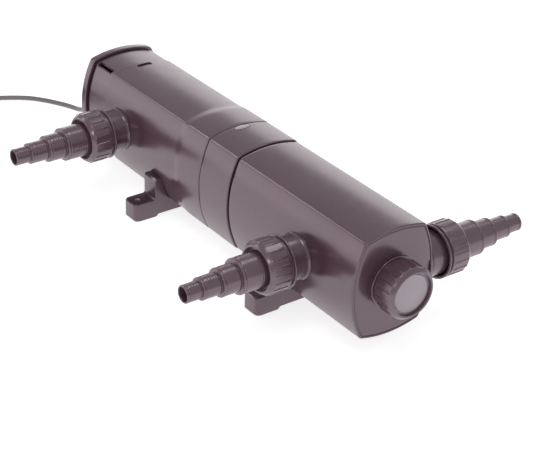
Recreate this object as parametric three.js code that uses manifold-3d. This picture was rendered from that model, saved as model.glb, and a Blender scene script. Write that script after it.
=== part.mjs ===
// Pond UV clarifier: a long horizontal plastic housing with a quartz-sleeved lamp inside,
// three stepped hose tails, one blanked port, two cradle feet and a mains cord.
// Millimetres, +X along the housing towards the blanked port, +Z up, floor at z = 0.
import * as THREE from 'three';
import { mergeVertices } from 'three/addons/utils/BufferGeometryUtils.js';
import Module from 'manifold-3d';

const wasm = await Module();
wasm.setup();

// ---------------------------------------------------------------- driving dimensions
const GAP = 0.3;                 // running gap between separate pieces
const WALL = 3;                  // moulded wall
const AXIS_Z = 77.5;             // height of the housing's axis above the floor

// Outline of the housing: four shallow side arcs joined by small corner arcs.
const SECTION = {
  halfWidth: 39.5,               // to the meeting point of the side arcs
  halfHeight: 57.5,
  sideBulge: 14.5,               // how far each side arc stands out beyond that point
  topBulge: 6,
  cornerRadius: 10,
  arcSteps: 3,
};

// Stations along X.
const X = {
  coverBack: -280.4,
  coverFront: -267.7,
  headBack: -265.5,              // ballast housing
  shoulder: -223,                // ballast housing meets the rear housing
  bulkhead: -227,
  flare: -61,                    // the rear housing swells into its flared band
  rearEnd: -14.1,
  ringBack: -13.4,
  ringFront: 42,
  frontStart: 44.6,
  frontEnd: 267.5,
};
const HEAD_INSET = 1.2;          // the ballast housing is a little slimmer
const COVER_OUTSET = 2;          // the rear cover stands proud
const FLARE_OUTSET = 1.4;
const RING_OUTSET = 0.9;
const END_CHAMFER = 2.2;

// Round joint under the coupling ring.
const SPIGOT = { bore: 43.5, radius: 49, rearEnd: 12.5, frontEnd: 15.5 };
const RING_BORE = SPIGOT.radius + 0.5;

// Ports. Each port's own axis starts at the rear plane of its union nut and runs outwards.
const PORT = {
  bore: 17.5,
  neck: 25,
  foot: 26.4,                    // the neck widens where it meets the housing
  threadRadius: 26.4,
  threadStart: 8,
  threadEnd: 20,
};
const NUT = {
  length: 32,
  ribRadius: 31,
  barrelRadius: 29.9,            // between the ribs
  ribs: 20,
  ribEnd: 27.8,                  // the front chamfer starts here
  frontRadius: 26.8,
  lipRadius: 30.6,               // thin lip behind the rear groove
  grooveRadius: 28.8,
  grooveStart: 2.2,
  grooveEnd: 7,
  mouth: 28.4,                   // rear edge of the bore, chamfered
  bore: 26.9,
  opening: 24.4,
  lip: 4.5,                      // thickness of the front lip that clamps the tail
};
const TAIL = {
  flangeRadius: 26.3,
  flangeStart: 22.9,
  flangeEnd: 27.2,
  steps: [                       // outside radius, bore radius and outer end of each step
    { radius: 20, bore: 16.8, end: 59.7 },
    { radius: 16, bore: 13.2, end: 82 },
    { radius: 12.5, bore: 10, end: 104.8 },
    { radius: 10, bore: 8, end: 123.5 },
  ],
};
const GASKET = { start: 20.3, end: 22.6, inner: 18, outer: 25.4 };
const BLANK = { bossRadius: 23.4, face: 28.4 };
const SIDE_STUB_DEPTH = 24;       // how far a side neck reaches back through the wall
const END_STUB_DEPTH = 2.5;
const PORTS = {
  rear_left: { x: -191.2, side: -1 },
  front_left: { x: 170.5, side: -1 },
  front_right: { x: 243, side: 1 },
};
const NUT_PLANE_Y = 74;          // rear plane of the side nuts, measured from the axis
const NUT_PLANE_X = 268;         // rear plane of the end nut

// Cradle feet.
const FOOT = {
  positions: { rear_foot: -111.5, front_foot: 136.4 },
  thickness: 24.6,
  reach: 88,                     // outer end, measured from the centre plane
  padTop: 22.8,
  padInner: 58,                  // the underside steps up inside this
  archHeight: 3,
  uprightOuter: 59.5,
  uprightTop: 49.5,
  holeY: 77,
  holeRadius: 3,
  chamfer: 2,
};

// Lamp, sleeve and what holds them.
const SLEEVE = { radius: 22, bore: 20, back: -229, front: 225 };
const LAMP = { tubeRadius: 8, tubeOffset: 9.5, back: -206, front: 204 };
const LAMP_BASE = { back: -226.7, halfWidth: 7, halfHeight: 17.5 };
const LAMP_SOCKET = { back: -247, front: -229.6, halfWidth: 12, halfHeight: 22 };
const GUIDE = { back: 186, front: 196, hubRadius: 26, hubBore: 23, armHalf: 2 };
const LENS = { x: -8.3, halfX: 4.2, halfY: 10, thickness: 4.5 };

// Mains cord.
const CORD = {
  radius: 3.1,
  sides: 10,
  exitZ: 38,
  // Hand-laid route from the strain relief down to the floor and away.
  route: [
    [-332.3, 0, 38], [-340, 0, 37.3], [-350, 0.4, 34.2], [-360, 1.4, 28.6], [-370, 3, 21.4],
    [-380, 5, 14.2], [-391, 7, 8.2], [-404, 7.6, 4.4], [-418, 4, 3.4], [-431, -2.5, 3.3],
    [-445, -10.6, 3.3], [-457, -19, 3.3], [-468, -28.6, 3.3], [-480, -44.5, 3.3],
    [-490.4, -62.6, 3.3], [-502.1, -83.5, 3.3], [-513.4, -103.5, 3.3],
  ],
};
const COIL = { x: -486.8, y: -150.6, inner: 18.2, turn: 46.4, outer: 49.8, height: 31.2 };
// The last turn leaves the coil along -Y and runs straight into the plug.
const PLUG = { x: COIL.x - COIL.turn, y: -258, z: 19.4, back: 33 };

// ---------------------------------------------------------------- materials
function plastic(color, roughness = 0.5) {
  return new THREE.MeshStandardMaterial({ color, roughness, metalness: 0 });
}
const MATERIAL = {
  housing: plastic(0x5c5156, 0.42),
  fitting: plastic(0x51474c, 0.38),
  blank: plastic(0xa59ba2, 0.45),
  rubber: plastic(0x1c1b1d, 0.8),
  lens: plastic(0xe9e6ea, 0.15),
  quartz: new THREE.MeshStandardMaterial({
    color: 0xdfe8ee, roughness: 0.05, metalness: 0, transparent: true, opacity: 0.35,
  }),
  lampGlass: plastic(0xe6e9ee, 0.2),
  whitePlastic: plastic(0xd9d8d4, 0.5),
  electronics: plastic(0xc9c8c2, 0.55),
  cord: plastic(0x8a8589, 0.55),
  lead: plastic(0x3b5f9a, 0.5),
  steel: new THREE.MeshStandardMaterial({ color: 0xb8b8b6, roughness: 0.3, metalness: 1 }),
};

// ---------------------------------------------------------------- solids
// Welds a geometry, drops collapsed triangles and turns it outwards.
function solid(geometry) {
  const bare = geometry.clone();
  bare.deleteAttribute('normal');
  bare.deleteAttribute('uv');
  const welded = mergeVertices(bare, 1e-3);
  const position = welded.getAttribute('position');
  const index = welded.getIndex().array;
  const triangles = [];
  for (let i = 0; i < index.length; i += 3) {
    const [a, b, c] = [index[i], index[i + 1], index[i + 2]];
    if (a !== b && b !== c && c !== a) triangles.push(a, b, c);
  }
  const [p, q, r] = [new THREE.Vector3(), new THREE.Vector3(), new THREE.Vector3()];
  let volume = 0;
  for (let i = 0; i < triangles.length; i += 3) {
    p.fromBufferAttribute(position, triangles[i]);
    q.fromBufferAttribute(position, triangles[i + 1]);
    r.fromBufferAttribute(position, triangles[i + 2]);
    volume += p.dot(q.cross(r));
  }
  if (volume < 0) {
    for (let i = 0; i < triangles.length; i += 3) {
      [triangles[i + 1], triangles[i + 2]] = [triangles[i + 2], triangles[i + 1]];
    }
  }
  return new wasm.Manifold(new wasm.Mesh({
    numProp: 3,
    vertProperties: Float32Array.from(position.array),
    triVerts: Uint32Array.from(triangles),
  }));
}

function geometryOf(manifold) {
  const mesh = manifold.getMesh();
  const geometry = new THREE.BufferGeometry();
  geometry.setAttribute('position', new THREE.BufferAttribute(mesh.vertProperties, 3));
  geometry.setIndex(new THREE.BufferAttribute(mesh.triVerts, 1));
  return geometry;
}

function join(first, ...rest) {
  return rest.reduce((sum, piece) => sum.add(piece), first);
}

function cut(body, ...tools) {
  return tools.reduce((left, tool) => left.subtract(tool), body);
}

function box(low, high) {
  const size = low.map((value, i) => high[i] - value);
  const geometry = new THREE.BoxGeometry(...size);
  geometry.translate(...low.map((value, i) => (value + high[i]) / 2));
  return solid(geometry);
}

// Turns a shape made along +Z at the origin so that it runs along the given direction.
function aim(geometry, direction, origin) {
  const turn = new THREE.Quaternion().setFromUnitVectors(
    new THREE.Vector3(0, 0, 1), new THREE.Vector3(...direction),
  );
  geometry.applyQuaternion(turn);
  geometry.translate(...origin);
  return geometry;
}

// Revolves a profile of [radius, distance] pairs about the axis through origin.
function turned(profile, direction, origin, segments = 24) {
  const points = profile.map(([radius, along]) => new THREE.Vector2(radius, along));
  if (profile[0][0] > 0 || profile.at(-1)[0] > 0) points.push(points[0].clone());
  const geometry = new THREE.LatheGeometry(points, segments);
  geometry.rotateX(Math.PI / 2);
  return solid(aim(geometry, direction, origin));
}

function rod(radius, from, to, direction, origin, segments = 24) {
  return turned([[0, from], [radius, from], [radius, to], [0, to]], direction, origin, segments);
}

function tube(points, radius, sides, steps) {
  const outline = new THREE.Shape();
  for (let i = 0; i < sides; i += 1) {
    const angle = (2 * Math.PI * i) / sides;
    const [u, v] = [radius * Math.cos(angle), radius * Math.sin(angle)];
    if (i === 0) outline.moveTo(u, v);
    else outline.lineTo(u, v);
  }
  const path = new THREE.CatmullRomCurve3(points.map((point) => new THREE.Vector3(...point)));
  return solid(new THREE.ExtrudeGeometry(outline, { steps, extrudePath: path }));
}

// Points [y, z] of the housing outline, moved inwards by inset (outwards if negative).
function outline(inset) {
  const { halfWidth: w, halfHeight: h, sideBulge, topBulge, cornerRadius, arcSteps } = SECTION;
  const sideRadius = (h * h + sideBulge * sideBulge) / (2 * sideBulge);
  const topRadius = (w * w + topBulge * topBulge) / (2 * topBulge);
  const sideCentre = w + sideBulge - sideRadius;       // on the y axis
  const topCentre = h + topBulge - topRadius;          // on the z axis
  // The corner arc's centre lies on both arcs moved inwards by the corner radius.
  const a = sideRadius - cornerRadius;
  const b = topRadius - cornerRadius;
  const span = Math.hypot(sideCentre, topCentre);
  const along = (a * a - b * b + span * span) / (2 * span);
  const off = Math.sqrt(a * a - along * along);
  const [ey, ez] = [-sideCentre / span, topCentre / span];
  const cornerY = sideCentre + along * ey - off * ez;
  const cornerZ = along * ez + off * ey;
  const sideEnd = Math.atan2(cornerZ, cornerY - sideCentre);
  const topEnd = Math.atan2(cornerZ - topCentre, cornerY);
  const arcs = [
    [sideCentre, 0, sideRadius, 0, sideEnd],
    [cornerY, cornerZ, cornerRadius, sideEnd, topEnd],
    [0, topCentre, topRadius, topEnd, Math.PI / 2],
  ];
  const quarter = [];
  for (const [cy, cz, radius, start, end] of arcs) {
    for (let i = 0; i < arcSteps; i += 1) {
      const angle = start + ((end - start) * i) / arcSteps;
      quarter.push([cy + (radius - inset) * Math.cos(angle), cz + (radius - inset) * Math.sin(angle)]);
    }
  }
  quarter.push([0, topCentre + topRadius - inset]);
  const right = [...quarter.slice(1, -1).reverse().map(([y, z]) => [y, -z]), ...quarter.slice(0, -1)];
  const left = right.map(([y, z]) => [-y, -z]);
  const top = quarter.at(-1);
  return [...right, top, ...left, [0, -top[1]]];
}

// A body that runs along X through stations [x, inset] with the housing's outline.
function loft(stations) {
  const rings = stations.map(([x, inset]) => outline(inset).map(([y, z]) => [x, y, AXIS_Z + z]));
  const count = rings[0].length;
  const vertices = rings.flat();
  const triangles = [];
  for (let ring = 0; ring + 1 < rings.length; ring += 1) {
    for (let i = 0; i < count; i += 1) {
      const j = (i + 1) % count;
      const [a, b] = [ring * count + i, ring * count + j];
      triangles.push(a, b, b + count, a, b + count, a + count);
    }
  }
  for (const [ring, flip] of [[0, true], [rings.length - 1, false]]) {
    const centre = vertices.push([stations[ring][0], 0, AXIS_Z]) - 1;
    for (let i = 0; i < count; i += 1) {
      const [a, b] = [ring * count + i, ring * count + ((i + 1) % count)];
      triangles.push(...(flip ? [centre, b, a] : [centre, a, b]));
    }
  }
  const geometry = new THREE.BufferGeometry();
  geometry.setAttribute('position', new THREE.BufferAttribute(Float32Array.from(vertices.flat()), 3));
  geometry.setIndex(triangles);
  return solid(geometry);
}

// One length of the outline, used whole or to hollow a shell.
function straightLoft(from, to, inset) {
  return loft([[from, inset], [to, inset]]);
}

// A cylinder along X about the housing's axis.
function axisRod(radius, from, to, segments = 32) {
  return rod(radius, from, to, [1, 0, 0], [0, 0, AXIS_Z], segments);
}

const model = new THREE.Group();

function place(name, manifold, material) {
  const mesh = new THREE.Mesh(geometryOf(manifold), material);
  mesh.name = name;
  model.add(mesh);
}

// ---------------------------------------------------------------- ports
function portFrame(name) {
  if (name === 'end') return { direction: [1, 0, 0], origin: [NUT_PLANE_X, 0, AXIS_Z] };
  const { x, side } = PORTS[name];
  return { direction: [0, side, 0], origin: [x, side * NUT_PLANE_Y, AXIS_Z] };
}

function stubDepth(name) {
  return name === 'end' ? END_STUB_DEPTH : SIDE_STUB_DEPTH;
}

// Neck and threaded end; the thread is a plain cylinder over its crests.
function portStub(name) {
  const { direction, origin } = portFrame(name);
  const back = -stubDepth(name);
  // Side necks spread into the housing's curved wall.
  const root = name === 'end'
    ? [[0, back], [PORT.neck, back]]
    : [[0, back], [PORT.foot, back], [PORT.foot, back + 3], [PORT.neck, back + 9]];
  return turned([
    ...root, [PORT.neck, PORT.threadStart], [PORT.threadRadius, PORT.threadStart + 1],
    [PORT.threadRadius, PORT.threadEnd], [0, PORT.threadEnd],
  ], direction, origin);
}

function portBore(name) {
  const { direction, origin } = portFrame(name);
  return rod(PORT.bore, -stubDepth(name) - 6, PORT.threadEnd + 1, direction, origin);
}

// Union nut: narrow grip ribs, chamfered front, rear groove and thin rear lip.
function unionNut(name, phase) {
  const { direction, origin } = portFrame(name);
  const shape = new THREE.Shape();
  const pitch = (2 * Math.PI) / NUT.ribs;
  // One rib's corners: offset from its middle in pitches, and radius.
  const corners = [
    [-0.17, NUT.barrelRadius], [-0.11, NUT.ribRadius], [0.11, NUT.ribRadius], [0.17, NUT.barrelRadius],
  ];
  for (let rib = 0; rib < NUT.ribs; rib += 1) {
    for (const [offset, radius] of corners) {
      const angle = phase + (rib + offset) * pitch;
      const [u, v] = [radius * Math.cos(angle), radius * Math.sin(angle)];
      if (rib === 0 && offset === corners[0][0]) shape.moveTo(u, v);
      else shape.lineTo(u, v);
    }
  }
  const grip = new THREE.ExtrudeGeometry(shape, {
    depth: NUT.ribEnd - NUT.grooveEnd, bevelEnabled: false,
  });
  grip.translate(0, 0, NUT.grooveEnd);
  const ends = turned([
    [0, 0], [NUT.lipRadius, 0], [NUT.lipRadius, NUT.grooveStart],
    [NUT.grooveRadius, NUT.grooveStart], [NUT.grooveRadius, NUT.ribEnd],
    [NUT.barrelRadius - 0.3, NUT.ribEnd], [NUT.frontRadius, NUT.length], [0, NUT.length],
  ], direction, origin);
  const inside = turned([
    [0, -1], [NUT.mouth + 1, -1], [NUT.bore, NUT.mouth - NUT.bore], [NUT.bore, NUT.length - NUT.lip],
    [NUT.opening, NUT.length - NUT.lip], [NUT.opening, NUT.length + 1], [0, NUT.length + 1],
  ], direction, origin);
  return cut(join(solid(aim(grip, direction, origin)), ends), inside);
}

// Stepped hose tail: flange and four steps that get smaller outwards.
function hoseTail(name) {
  const { direction, origin } = portFrame(name);
  const outer = [[TAIL.flangeRadius, TAIL.flangeStart], [TAIL.flangeRadius, TAIL.flangeEnd]];
  const inner = [];
  let start = TAIL.flangeEnd;
  for (const [i, { radius, bore, end }] of TAIL.steps.entries()) {
    outer.push([radius, start], [radius, end]);
    inner.push([bore, i === 0 ? TAIL.flangeStart : start - WALL], [bore, i === 3 ? end : end - WALL]);
    start = end;
  }
  return turned([...outer, ...inner.reverse()], direction, origin, 20);
}

function flatRing(inner, outer, from, to, direction, origin, segments = 24) {
  return turned([[inner, from], [outer, from], [outer, to], [inner, to]], direction, origin, segments);
}

function portGasket(name) {
  const { direction, origin } = portFrame(name);
  return flatRing(GASKET.inner, GASKET.outer, GASKET.start, GASKET.end, direction, origin);
}

function blankingDisc() {
  const { direction, origin } = portFrame('end');
  return turned([
    [0, TAIL.flangeStart], [TAIL.flangeRadius, TAIL.flangeStart], [TAIL.flangeRadius, TAIL.flangeEnd],
    [BLANK.bossRadius, TAIL.flangeEnd], [BLANK.bossRadius, BLANK.face], [0, BLANK.face],
  ], direction, origin);
}

// ---------------------------------------------------------------- housings
function rearHousing() {
  const shell = cut(
    loft([
      [X.shoulder, 0.6], [X.shoulder + 0.8, 0], [X.flare, 0], [X.flare + 3, -FLARE_OUTSET],
      [X.rearEnd - 1, -FLARE_OUTSET], [X.rearEnd, -FLARE_OUTSET + 1],
    ]),
    straightLoft(X.shoulder - 1, X.rearEnd - 6, WALL),
    axisRod(SPIGOT.bore, X.rearEnd - 7, X.rearEnd + 1),
  );
  const spigot = cut(
    axisRod(SPIGOT.radius, X.rearEnd - 1, SPIGOT.rearEnd),
    axisRod(SPIGOT.bore, X.rearEnd - 2, SPIGOT.rearEnd + 1),
  );
  const { x } = PORTS.rear_left;
  const port = cut(portStub('rear_left'), straightLoft(x - 40, x + 40, WALL));
  // Windows for the ballast housing's latches, above and below.
  const window = (sign) => box(
    [X.shoulder + 2.5, -10, AXIS_Z + sign * 62 - 8], [X.shoulder + 9.5, 10, AXIS_Z + sign * 62 + 8],
  );
  return cut(join(shell, spigot, port), portBore('rear_left'), window(1), window(-1));
}

function frontHousing() {
  const shell = cut(
    loft([
      [X.frontStart, 0.8], [X.frontStart + 0.8, 0], [X.frontEnd - END_CHAMFER, 0],
      [X.frontEnd - 0.6, 0.7], [X.frontEnd, END_CHAMFER],
    ]),
    straightLoft(X.frontStart + 6, X.frontEnd - 4, WALL),
    axisRod(SPIGOT.bore, X.frontStart - 1, X.frontStart + 7),
  );
  const spigot = cut(
    axisRod(SPIGOT.radius, SPIGOT.frontEnd, X.frontStart + 1),
    axisRod(SPIGOT.bore, SPIGOT.frontEnd - 1, X.frontStart + 2),
  );
  const cavity = straightLoft(X.frontStart + 20, X.frontEnd - 4, WALL);
  const sides = ['front_left', 'front_right'].map((name) => cut(portStub(name), cavity));
  return cut(
    join(shell, spigot, ...sides, portStub('end')),
    ...['front_left', 'front_right', 'end'].map(portBore),
  );
}

function couplingRing() {
  const outer = loft([
    [X.ringBack, 0.2], [X.ringBack + 1, -RING_OUTSET], [X.ringFront - 1.5, -RING_OUTSET],
    [X.ringFront, 0.6],
  ]);
  // Pockets above and below the bore, open towards the front.
  const pocket = cut(
    straightLoft(X.ringBack + 12, X.ringFront + 1, WALL),
    axisRod(RING_BORE + WALL, X.ringBack, X.ringFront + 2),
    box([X.ringBack, -70, AXIS_Z - 30], [X.ringFront + 2, 70, AXIS_Z + 30]),
  );
  const lensHole = new THREE.CylinderGeometry(1, 1, 30, 28);
  lensHole.rotateX(Math.PI / 2);
  lensHole.scale(LENS.halfX + GAP, LENS.halfY + GAP, 1);
  lensHole.translate(LENS.x, 0, AXIS_Z + 62);
  return cut(outer, axisRod(RING_BORE, X.ringBack - 1, X.ringFront + 1), pocket, solid(lensHole));
}

function sightLens() {
  const top = AXIS_Z + SECTION.halfHeight + SECTION.topBulge + RING_OUTSET - 0.2;
  const geometry = new THREE.CylinderGeometry(1, 1, LENS.thickness, 28);
  geometry.rotateX(Math.PI / 2);
  geometry.scale(LENS.halfX, LENS.halfY, 1);
  geometry.translate(LENS.x, 0, top - LENS.thickness / 2);
  return solid(geometry);
}

// Screw places at the four corners of the rear cover.
const COVER_SCREWS = [[-32, -48], [32, -48], [32, 48], [-32, 48]];

function ballastHousing() {
  const inner = HEAD_INSET + WALL;
  const shell = cut(
    loft([[X.headBack, HEAD_INSET + 0.5], [X.headBack + 0.7, HEAD_INSET], [X.shoulder - GAP, HEAD_INSET]]),
    straightLoft(X.headBack - 1, X.bulkhead, inner),
  );
  const spigot = cut(
    straightLoft(X.shoulder - 1, X.shoulder + 12, WALL + GAP),
    straightLoft(X.shoulder, X.shoulder + 13, 2 * WALL + GAP),
  );
  const tab = (sign) => box(
    [X.shoulder + 3.2, -9.5, AXIS_Z + sign * 60.8 - 2], [X.shoulder + 8.8, 9.5, AXIS_Z + sign * 60.8 + 1],
  );
  const sleeveBoss = axisRod(28.6, X.bulkhead, X.shoulder + 12, 32);
  const bosses = COVER_SCREWS.map(([y, z]) => rod(
    5.5, X.headBack, X.bulkhead + 1, [1, 0, 0], [0, y, AXIS_Z + z], 12,
  ));
  const pilots = COVER_SCREWS.map(([y, z]) => rod(
    2.3, X.headBack - 1, X.headBack + 14, [1, 0, 0], [0, y, AXIS_Z + z], 12,
  ));
  return cut(
    join(shell, spigot, tab(1), tab(-1), sleeveBoss, ...bosses),
    axisRod(SLEEVE.radius + GAP, X.bulkhead - 2, X.shoulder + 13, 32),
    ...pilots,
  );
}

function rearCover() {
  const cup = cut(
    loft([
      [X.coverBack, 1.6], [X.coverBack + 1.2, -COVER_OUTSET + 1], [X.coverBack + 3.2, -COVER_OUTSET],
      [X.coverFront - 0.6, -COVER_OUTSET], [X.coverFront, -COVER_OUTSET + 0.6],
    ]),
    straightLoft(X.coverBack + WALL, X.coverFront + 1, 2.4),
  );
  const pillars = COVER_SCREWS.map(([y, z]) => rod(
    6, X.coverBack + 1, X.coverFront, [1, 0, 0], [0, y, AXIS_Z + z], 14,
  ));
  const holes = COVER_SCREWS.map(([y, z]) => turned(
    [[0, -1], [4.6, -1], [4.6, 2.6], [2.4, 2.6], [2.4, 20], [0, 20]],
    [1, 0, 0], [X.coverBack, y, AXIS_Z + z], 14,
  ));
  const glandHole = rod(8.4, -1, 5, [1, 0, 0], [X.coverBack, 0, CORD.exitZ], 20);
  return cut(join(cup, ...pillars), ...holes, glandHole);
}

function coverGasket() {
  return cut(
    straightLoft(X.coverFront + GAP, X.headBack - GAP, 2.2),
    straightLoft(X.coverFront, X.headBack, HEAD_INSET + WALL - 0.4),
  );
}

function coverScrew(y, z) {
  return turned(
    [[0, 0.5], [4, 0.5], [4, 2.3], [2, 2.3], [2, 26], [0, 27.5]],
    [1, 0, 0], [X.coverBack, y, AXIS_Z + z], 12,
  );
}

function oRing(radius, thickness, x, segments = 28) {
  const profile = [];
  for (let i = 0; i < 6; i += 1) {
    const angle = (2 * Math.PI * i) / 6;
    profile.push([radius + thickness * Math.cos(angle), thickness * Math.sin(angle)]);
  }
  return turned(profile, [1, 0, 0], [x, 0, AXIS_Z], segments);
}

// ---------------------------------------------------------------- feet
function foot(x) {
  const half = FOOT.thickness / 2;
  const side = [
    [FOOT.reach, FOOT.chamfer], [FOOT.reach, FOOT.padTop], [FOOT.uprightOuter, FOOT.padTop],
    [FOOT.uprightOuter, FOOT.uprightTop - 2], [FOOT.uprightOuter - 2, FOOT.uprightTop],
  ];
  const under = [[FOOT.padInner - 3, FOOT.archHeight], [FOOT.padInner, 0], [FOOT.reach - FOOT.chamfer, 0]];
  const points = [
    ...under,
    ...side,
    ...side.map(([y, z]) => [-y, z]).reverse(), ...under.map(([y, z]) => [-y, z]).reverse(),
  ];
  const shape = new THREE.Shape(points.map(([y, z]) => new THREE.Vector2(y, z)));
  const bar = new THREE.ExtrudeGeometry(shape, { depth: FOOT.thickness, bevelEnabled: false });
  // Shape axes (y, z, depth) become the model's Y, Z and X.
  bar.applyMatrix4(new THREE.Matrix4().makeBasis(
    new THREE.Vector3(0, 1, 0), new THREE.Vector3(0, 0, 1), new THREE.Vector3(1, 0, 0),
  ));
  bar.translate(x - half, 0, 0);
  const holes = [-1, 1].map((sign) => rod(
    FOOT.holeRadius, -1, FOOT.padTop + 1, [0, 0, 1], [x, sign * FOOT.holeY, 0], 16,
  ));
  return cut(solid(bar), straightLoft(x - half - 1, x + half + 1, -GAP), ...holes);
}

// ---------------------------------------------------------------- lamp and sleeve
function quartzSleeve() {
  const { radius, bore, back, front } = SLEEVE;
  const dome = (r, tip, steps) => {
    const points = [];
    for (let i = 0; i <= steps; i += 1) {
      const angle = (Math.PI / 2) * (i / steps);
      points.push([r * Math.cos(angle), tip - r + r * Math.sin(angle)]);
    }
    points[steps][0] = 0;
    return points;
  };
  const outer = [[radius, back], ...dome(radius, front, 5)];
  const inner = [...dome(bore, front - (radius - bore), 5)].reverse();
  return solidOfProfile([...outer, ...inner, [bore, back]]);
}

// Revolves about the housing's axis a profile that touches the axis inside its run.
function solidOfProfile(profile) {
  const split = profile.findIndex(([radius]) => radius === 0);
  const outer = profile.slice(0, split + 1);
  const inner = profile.slice(split + 1);
  const back = outer[0][1];
  const place3 = [[1, 0, 0], [0, 0, AXIS_Z]];
  return cut(
    turned([[0, back], ...outer], ...place3, 24),
    turned([[0, back - 1], [inner.at(-1)[0], back - 1], ...[...inner].reverse()], ...place3, 24),
  );
}

function uvLamp() {
  const tubes = [-1, 1].map((sign) => rod(
    LAMP.tubeRadius, LAMP.back, LAMP.front, [1, 0, 0], [0, 0, AXIS_Z + sign * LAMP.tubeOffset], 16,
  ));
  const bridge = box([LAMP.front - 14, -3, AXIS_Z - 3], [LAMP.front - 8, 3, AXIS_Z + 3]);
  return join(tubes[0], tubes[1], bridge);
}

// A block centred on the housing's axis.
function block({ halfWidth, halfHeight }, from, to) {
  return box([from, -halfWidth, AXIS_Z - halfHeight], [to, halfWidth, AXIS_Z + halfHeight]);
}

function sleeveNut() {
  return turned([
    [29.2, X.shoulder + GAP], [33.5, X.shoulder + GAP], [33.5, X.shoulder + 19], [23.2, X.shoulder + 19],
    [23.2, X.shoulder + 16], [29.2, X.shoulder + 16],
  ], [1, 0, 0], [0, 0, AXIS_Z], 32);
}

// Three-armed guide in the front housing that keeps the sleeve's far end central.
function sleeveGuide() {
  const { back, front, hubRadius, hubBore, armHalf } = GUIDE;
  const hub = cut(axisRod(hubRadius, back, front), axisRod(hubBore, back - 1, front + 1));
  const armStart = hubRadius - 0.5;
  const upTo = SECTION.halfHeight + SECTION.topBulge - WALL - GAP;
  const sideTo = SECTION.halfWidth + SECTION.sideBulge - WALL - GAP;
  const up = box([back, -armHalf, AXIS_Z + armStart], [front, armHalf, AXIS_Z + upTo]);
  const down = box([back, -armHalf, AXIS_Z - upTo], [front, armHalf, AXIS_Z - armStart]);
  const side = box([back, armStart, AXIS_Z - armHalf], [front, sideTo, AXIS_Z + armHalf]);
  return join(hub, up, down, side);
}

// ---------------------------------------------------------------- dry compartment
function glandPieces() {
  const at = [[1, 0, 0], [X.coverBack, 0, CORD.exitZ]];
  const body = cut(
    join(
      turned([[0, -4.5], [11, -4.5], [11, -GAP], [0, -GAP]], ...at, 6),
      rod(8, -9, 9, ...at, 20),
    ),
    rod(3.6, -10, 10, ...at, 14),
  );
  const nut = turned([
    [8.4, -4.8], [11, -4.8], [11, -12], [9.5, -16.5], [6.6, -19.6], [3.5, -19.6], [3.5, -10], [8.4, -9.6],
  ], ...at, 20);
  const locknut = cut(
    turned([[0, WALL + GAP], [11.5, WALL + GAP], [11.5, 7.6], [0, 7.6]], ...at, 6),
    rod(8.4, 0, 9, ...at, 20),
  );
  return { body, nut, locknut };
}

// ---------------------------------------------------------------- cord, coil and plug
function strainRelief() {
  return turned([
    [0, -300.3], [6, -300.3], [6, -304], [5, -306], [5, -309], [5.6, -309.4], [4.6, -314], [4.9, -314.4],
    [4.2, -319], [4.5, -319.4], [3.9, -324], [3.6, -332], [0, -332],
  ], [1, 0, 0], [0, 0, CORD.exitZ], 16);
}

function cordCoil() {
  return flatRing(COIL.inner, COIL.outer, 0.2, COIL.height, [0, 0, 1], [COIL.x, COIL.y, 0], 28);
}

function mainsPlug() {
  // Round two-pin plug lying on its side, its pins pointing along -Y.
  const at = [[0, 1, 0], [PLUG.x, PLUG.y, PLUG.z]];
  const body = turned([
    [0, -14], [18.5, -14], [19.2, -12.5], [19.2, 2], [15, 9], [9, 13], [6.5, 24], [5, 33], [0, 33],
  ], ...at, 24);
  const pins = [-9.5, 9.5].map((offset) => rod(
    2.4, -33, -13, [0, 1, 0], [PLUG.x + offset, PLUG.y, PLUG.z], 12,
  ));
  return join(body, ...pins);
}

// ---------------------------------------------------------------- assembly
place('rear_housing', rearHousing(), MATERIAL.housing);
place('front_housing', frontHousing(), MATERIAL.housing);
place('coupling_ring', couplingRing(), MATERIAL.housing);
place('sight_lens', sightLens(), MATERIAL.lens);
place('main_o_ring', oRing(46.2, 1.15, (SPIGOT.rearEnd + SPIGOT.frontEnd) / 2), MATERIAL.rubber);
place('ballast_housing', ballastHousing(), MATERIAL.housing);
place('rear_cover', rearCover(), MATERIAL.housing);
place('cover_gasket', coverGasket(), MATERIAL.rubber);
for (const [i, [y, z]] of COVER_SCREWS.entries()) {
  place(`cover_screw_${i + 1}`, coverScrew(y, z), MATERIAL.steel);
}
for (const [name, x] of Object.entries(FOOT.positions)) place(name, foot(x), MATERIAL.housing);

const NUT_PHASE = { rear_left: 0.1, front_left: 0.1, front_right: 0.1, end: 0.09 };
for (const name of Object.keys(PORTS)) {
  place(`${name}_union_nut`, unionNut(name, NUT_PHASE[name]), MATERIAL.fitting);
  place(`${name}_hose_tail`, hoseTail(name), MATERIAL.fitting);
  place(`${name}_gasket`, portGasket(name), MATERIAL.rubber);
}
place('end_union_nut', unionNut('end', NUT_PHASE.end), MATERIAL.fitting);
place('end_blanking_disc', blankingDisc(), MATERIAL.blank);
place('end_gasket', portGasket('end'), MATERIAL.rubber);

place('quartz_sleeve', quartzSleeve(), MATERIAL.quartz);
place('sleeve_o_ring', oRing(24.6, 1.4, X.shoulder + 14, 24), MATERIAL.rubber);
place('sleeve_nut', sleeveNut(), MATERIAL.fitting);
place('sleeve_guide', sleeveGuide(), MATERIAL.whitePlastic);
place('uv_lamp', uvLamp(), MATERIAL.lampGlass);
place('lamp_base', block(LAMP_BASE, LAMP_BASE.back, LAMP.back - GAP), MATERIAL.whitePlastic);
place('lamp_socket', block(LAMP_SOCKET, LAMP_SOCKET.back, LAMP_SOCKET.front), MATERIAL.whitePlastic);

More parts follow.
